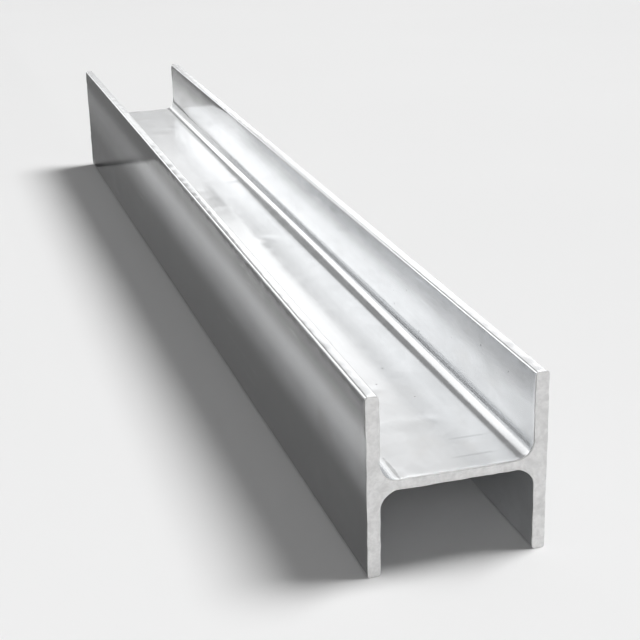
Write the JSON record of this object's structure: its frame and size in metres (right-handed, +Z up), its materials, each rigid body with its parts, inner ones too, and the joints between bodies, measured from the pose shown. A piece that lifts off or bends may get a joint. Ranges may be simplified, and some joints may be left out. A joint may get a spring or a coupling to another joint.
{
  "type": "steel h-beam",
  "caption": "Hot-rolled, hot-dip galvanised steel H-beam: a short sawn length of wide-flange column section with root fillets between web and flanges.",
  "frame": {"origin": "centre of the footprint, on the level that the lower flange toes rest on", "axes": "+Y along the beam, +Z up along the flanges, +X across the section from flange to flange"},
  "size_m": [0.097, 0.9, 0.099],
  "materials": {
    "galvanised_steel": "hot-dip galvanised: bright semi-gloss zinc with soft waves, duller on the sawn ends"
  },
  "bodies": {
    "root": {"h_beam": "galvanised_steel"}
  },
  "joints": []
}
